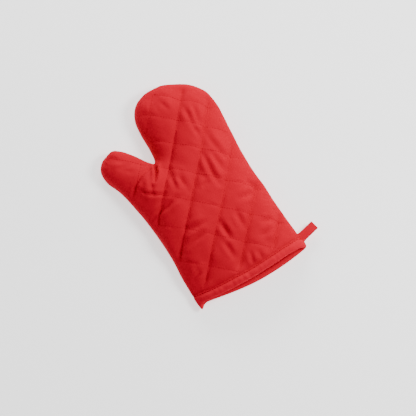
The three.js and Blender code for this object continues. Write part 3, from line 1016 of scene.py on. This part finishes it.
# ---- The hanging loop ---------------------------------------------------------------------------
LOOP_ROOT = np.array([74.2, 20.0])
LOOP_HEADING = math.radians(20)
LOOP_LENGTH, LOOP_WIDTH, LOOP_TAPE, LOOP_TIP = 21.8, 11.4, 1.0, 1.2
LOOP_ROOT_RUN = 6  # over which the tape is spread and drawn into the seam
loop_way = np.array([math.cos(LOOP_HEADING), math.sin(LOOP_HEADING)])


def hanging_loop():
    """A tape folded in half, its two legs closing on each other at the seam."""
    across = np.array([-loop_way[1], loop_way[0]])
    end = LOOP_LENGTH - LOOP_TIP
    angle = np.linspace(-math.pi / 2, math.pi / 2, 14)
    leg = np.linspace(0, 1, 26)
    half = 0.62 + 0.85 * np.sin(math.pi * np.clip(leg, 0, 1) ** 1.5) * 0.7 + 0.35 * leg
    x_leg = leg * end
    low = np.column_stack([x_leg, -half])
    tip = np.column_stack([end + LOOP_TIP * np.cos(angle[1:-1]), half[-1] * np.sin(angle[1:-1])])
    high = np.column_stack([x_leg[::-1], half[::-1]])
    path = np.vstack([low, tip, high])
    step = np.gradient(path, axis=0)
    square = unit(np.column_stack([step[:, 1], -step[:, 0]]))
    v = np.linspace(-1, 1, 13)
    points, faces = [], []
    profile = [(x, 1) for x in v] + [(x, -1) for x in v[::-1]]
    n_p = len(profile)
    for (x, z), n_out in zip(path, square):
        for x_w, s in profile:
            edge = 1 - max(0, abs(x_w) - 0.86) / 0.14
            thick = 0.5 * LOOP_TAPE * (0.45 + 0.55 * math.sqrt(max(0, edge)))
            stitched = 0.12 * math.exp(-(((abs(x_w) - 0.72) / 0.06) ** 2))
            q = np.array([x, z]) + n_out * s * (thick - stitched)
            near_root = max(0, 1 - x / LOOP_ROOT_RUN)
            sideways = x_w * (LOOP_WIDTH / 2 + 0.8 * near_root**2)
            into_seam = (3.4 - 0.2 * sideways) * near_root
            plan_point = LOOP_ROOT + loop_way * (q[0] - into_seam) + across * sideways
            points.append((*plan_point, SEAM_HEIGHT + q[1] + 0.25 * math.sin(x / 4 + x_w)))
    for i in range(len(path) - 1):
        for k in range(n_p):
            q = (k + 1) % n_p
            faces.append((i * n_p + k, i * n_p + q, (i + 1) * n_p + q, (i + 1) * n_p + k))
    faces.append(tuple(range(n_p))[::-1])
    faces.append(tuple((len(path) - 1) * n_p + k for k in range(n_p)))
    return np.array(points), faces


loop_points, loop_faces = hanging_loop()
loop = new_mesh("hanging_loop_tape", to_frame(loop_points), loop_faces, tape_cloth)
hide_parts("hanging_loop")
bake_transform(loop)

# ---- Stage, light and camera -----------------------------------------------------------------------
TILT = math.radians(15)  # of the camera, off straight down
TURN = math.radians(25.2)  # of the mitt in the picture
PICTURE_WIDTH = 0.50752  # of the table, in metres
AIM_RIGHT, AIM_UP = -0.05612, 0.0854  # from the outline's origin to the picture's middle
REACH = 5.0  # from the camera to the mitt
SENSOR = 36
FLOOR_HALF = 3
PAPER_WHITE, PAPER_GLOW, WORLD_GLOW = 0.93, 1.1, 0.38
LIGHT_AIM = Vector((0, 0, 0.02))

floor_corners = [(x * FLOOR_HALF, y * FLOOR_HALF, 0) for x, y in ((-1, -1), (1, -1), (1, 1), (-1, 1))]
floor = new_mesh("floor", floor_corners, [(0, 1, 2, 3)])
paper = bpy.data.materials.new("paper")
paper.use_nodes = True
paper_shader = paper.node_tree.nodes["Principled BSDF"]
paper_shader.inputs["Base Color"].default_value = (PAPER_WHITE, PAPER_WHITE, PAPER_WHITE, 1)
paper_shader.inputs["Roughness"].default_value = 0.9
paper_shader.inputs["Emission Color"].default_value = (1, 1, 1, 1)
paper_shader.inputs["Emission Strength"].default_value = PAPER_GLOW
floor.data.materials.append(paper)

world = bpy.data.worlds.new("studio")
bpy.context.scene.world = world
world.use_nodes = True
world.node_tree.nodes["Background"].inputs["Color"].default_value = (1, 1, 1, 1)
world.node_tree.nodes["Background"].inputs["Strength"].default_value = WORLD_GLOW

image_up = np.array([math.sin(TURN), math.cos(TURN), 0])
image_right = np.array([math.cos(TURN), -math.sin(TURN), 0])


# Each light's place, as right, up and off the table in the picture, with its size and power.
LIGHTS = {
    "key": ((0.85, 0.1, 0.95), (0.4, 0.4), 16),
    "fill": ((-0.9, -0.3, 0.8), (0.8, 0.8), 1.4),
    "far": ((-0.1, 1.1, 0.5), (0.9, 0.4), 14),
}


def area_light(name, place, size, power):
    data = bpy.data.lights.new(name, "AREA")
    data.shape = "RECTANGLE"
    data.size, data.size_y = size
    data.energy = power
    obj = bpy.data.objects.new(name, data)
    bpy.context.collection.objects.link(obj)
    obj.location = place
    obj.rotation_euler = (LIGHT_AIM - Vector(place)).to_track_quat("-Z", "Y").to_euler()


for name, ((right, up, high), size, power) in LIGHTS.items():
    area_light(name, tuple(image_right * right + image_up * up + np.array([0, 0, high])), size, power)

camera_data = bpy.data.cameras.new("camera")
camera = bpy.data.objects.new("camera", camera_data)
bpy.context.collection.objects.link(camera)
camera_data.sensor_width = SENSOR
camera_data.lens = SENSOR * REACH / PICTURE_WIDTH
back = np.array([0, 0, math.cos(TILT)]) - image_up * math.sin(TILT)
up_in_image = np.array([0, 0, math.sin(TILT)]) + image_up * math.cos(TILT)
aim = to_frame([(0, 0, 0)])[0] + image_right * AIM_RIGHT + up_in_image * AIM_UP
camera.location = tuple(aim + back * REACH)
basis = Matrix((tuple(image_right), tuple(up_in_image), tuple(back))).transposed()
camera.rotation_euler = basis.to_euler()
bpy.context.scene.camera = camera
